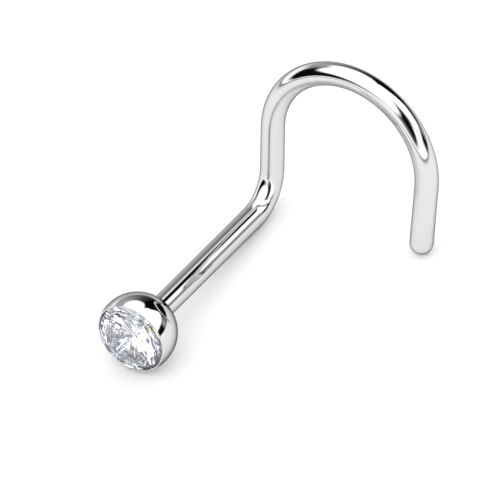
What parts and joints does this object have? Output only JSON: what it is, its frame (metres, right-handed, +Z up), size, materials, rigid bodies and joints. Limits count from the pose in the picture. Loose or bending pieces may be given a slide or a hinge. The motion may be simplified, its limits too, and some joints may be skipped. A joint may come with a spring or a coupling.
{
  "type": "nose stud",
  "caption": "Nose stud with a screw-shaped wire: a faceted stone in a half-ball cup, a straight post, and a half-circle hook that ends in a rounded tip.",
  "frame": {"origin": "middle of the stud's box, on the surface that it lies on", "axes": "+Z up from that surface, +Y level along the post from the stone to the hook, +X to the side that the hook turns to"},
  "size_m": [0.0078, 0.0106, 0.0061],
  "materials": {
    "polished_steel": "polished",
    "clear_stone": "polished"
  },
  "bodies": {
    "root": {"cup_and_wire": "polished_steel", "stone": "clear_stone"}
  },
  "joints": []
}
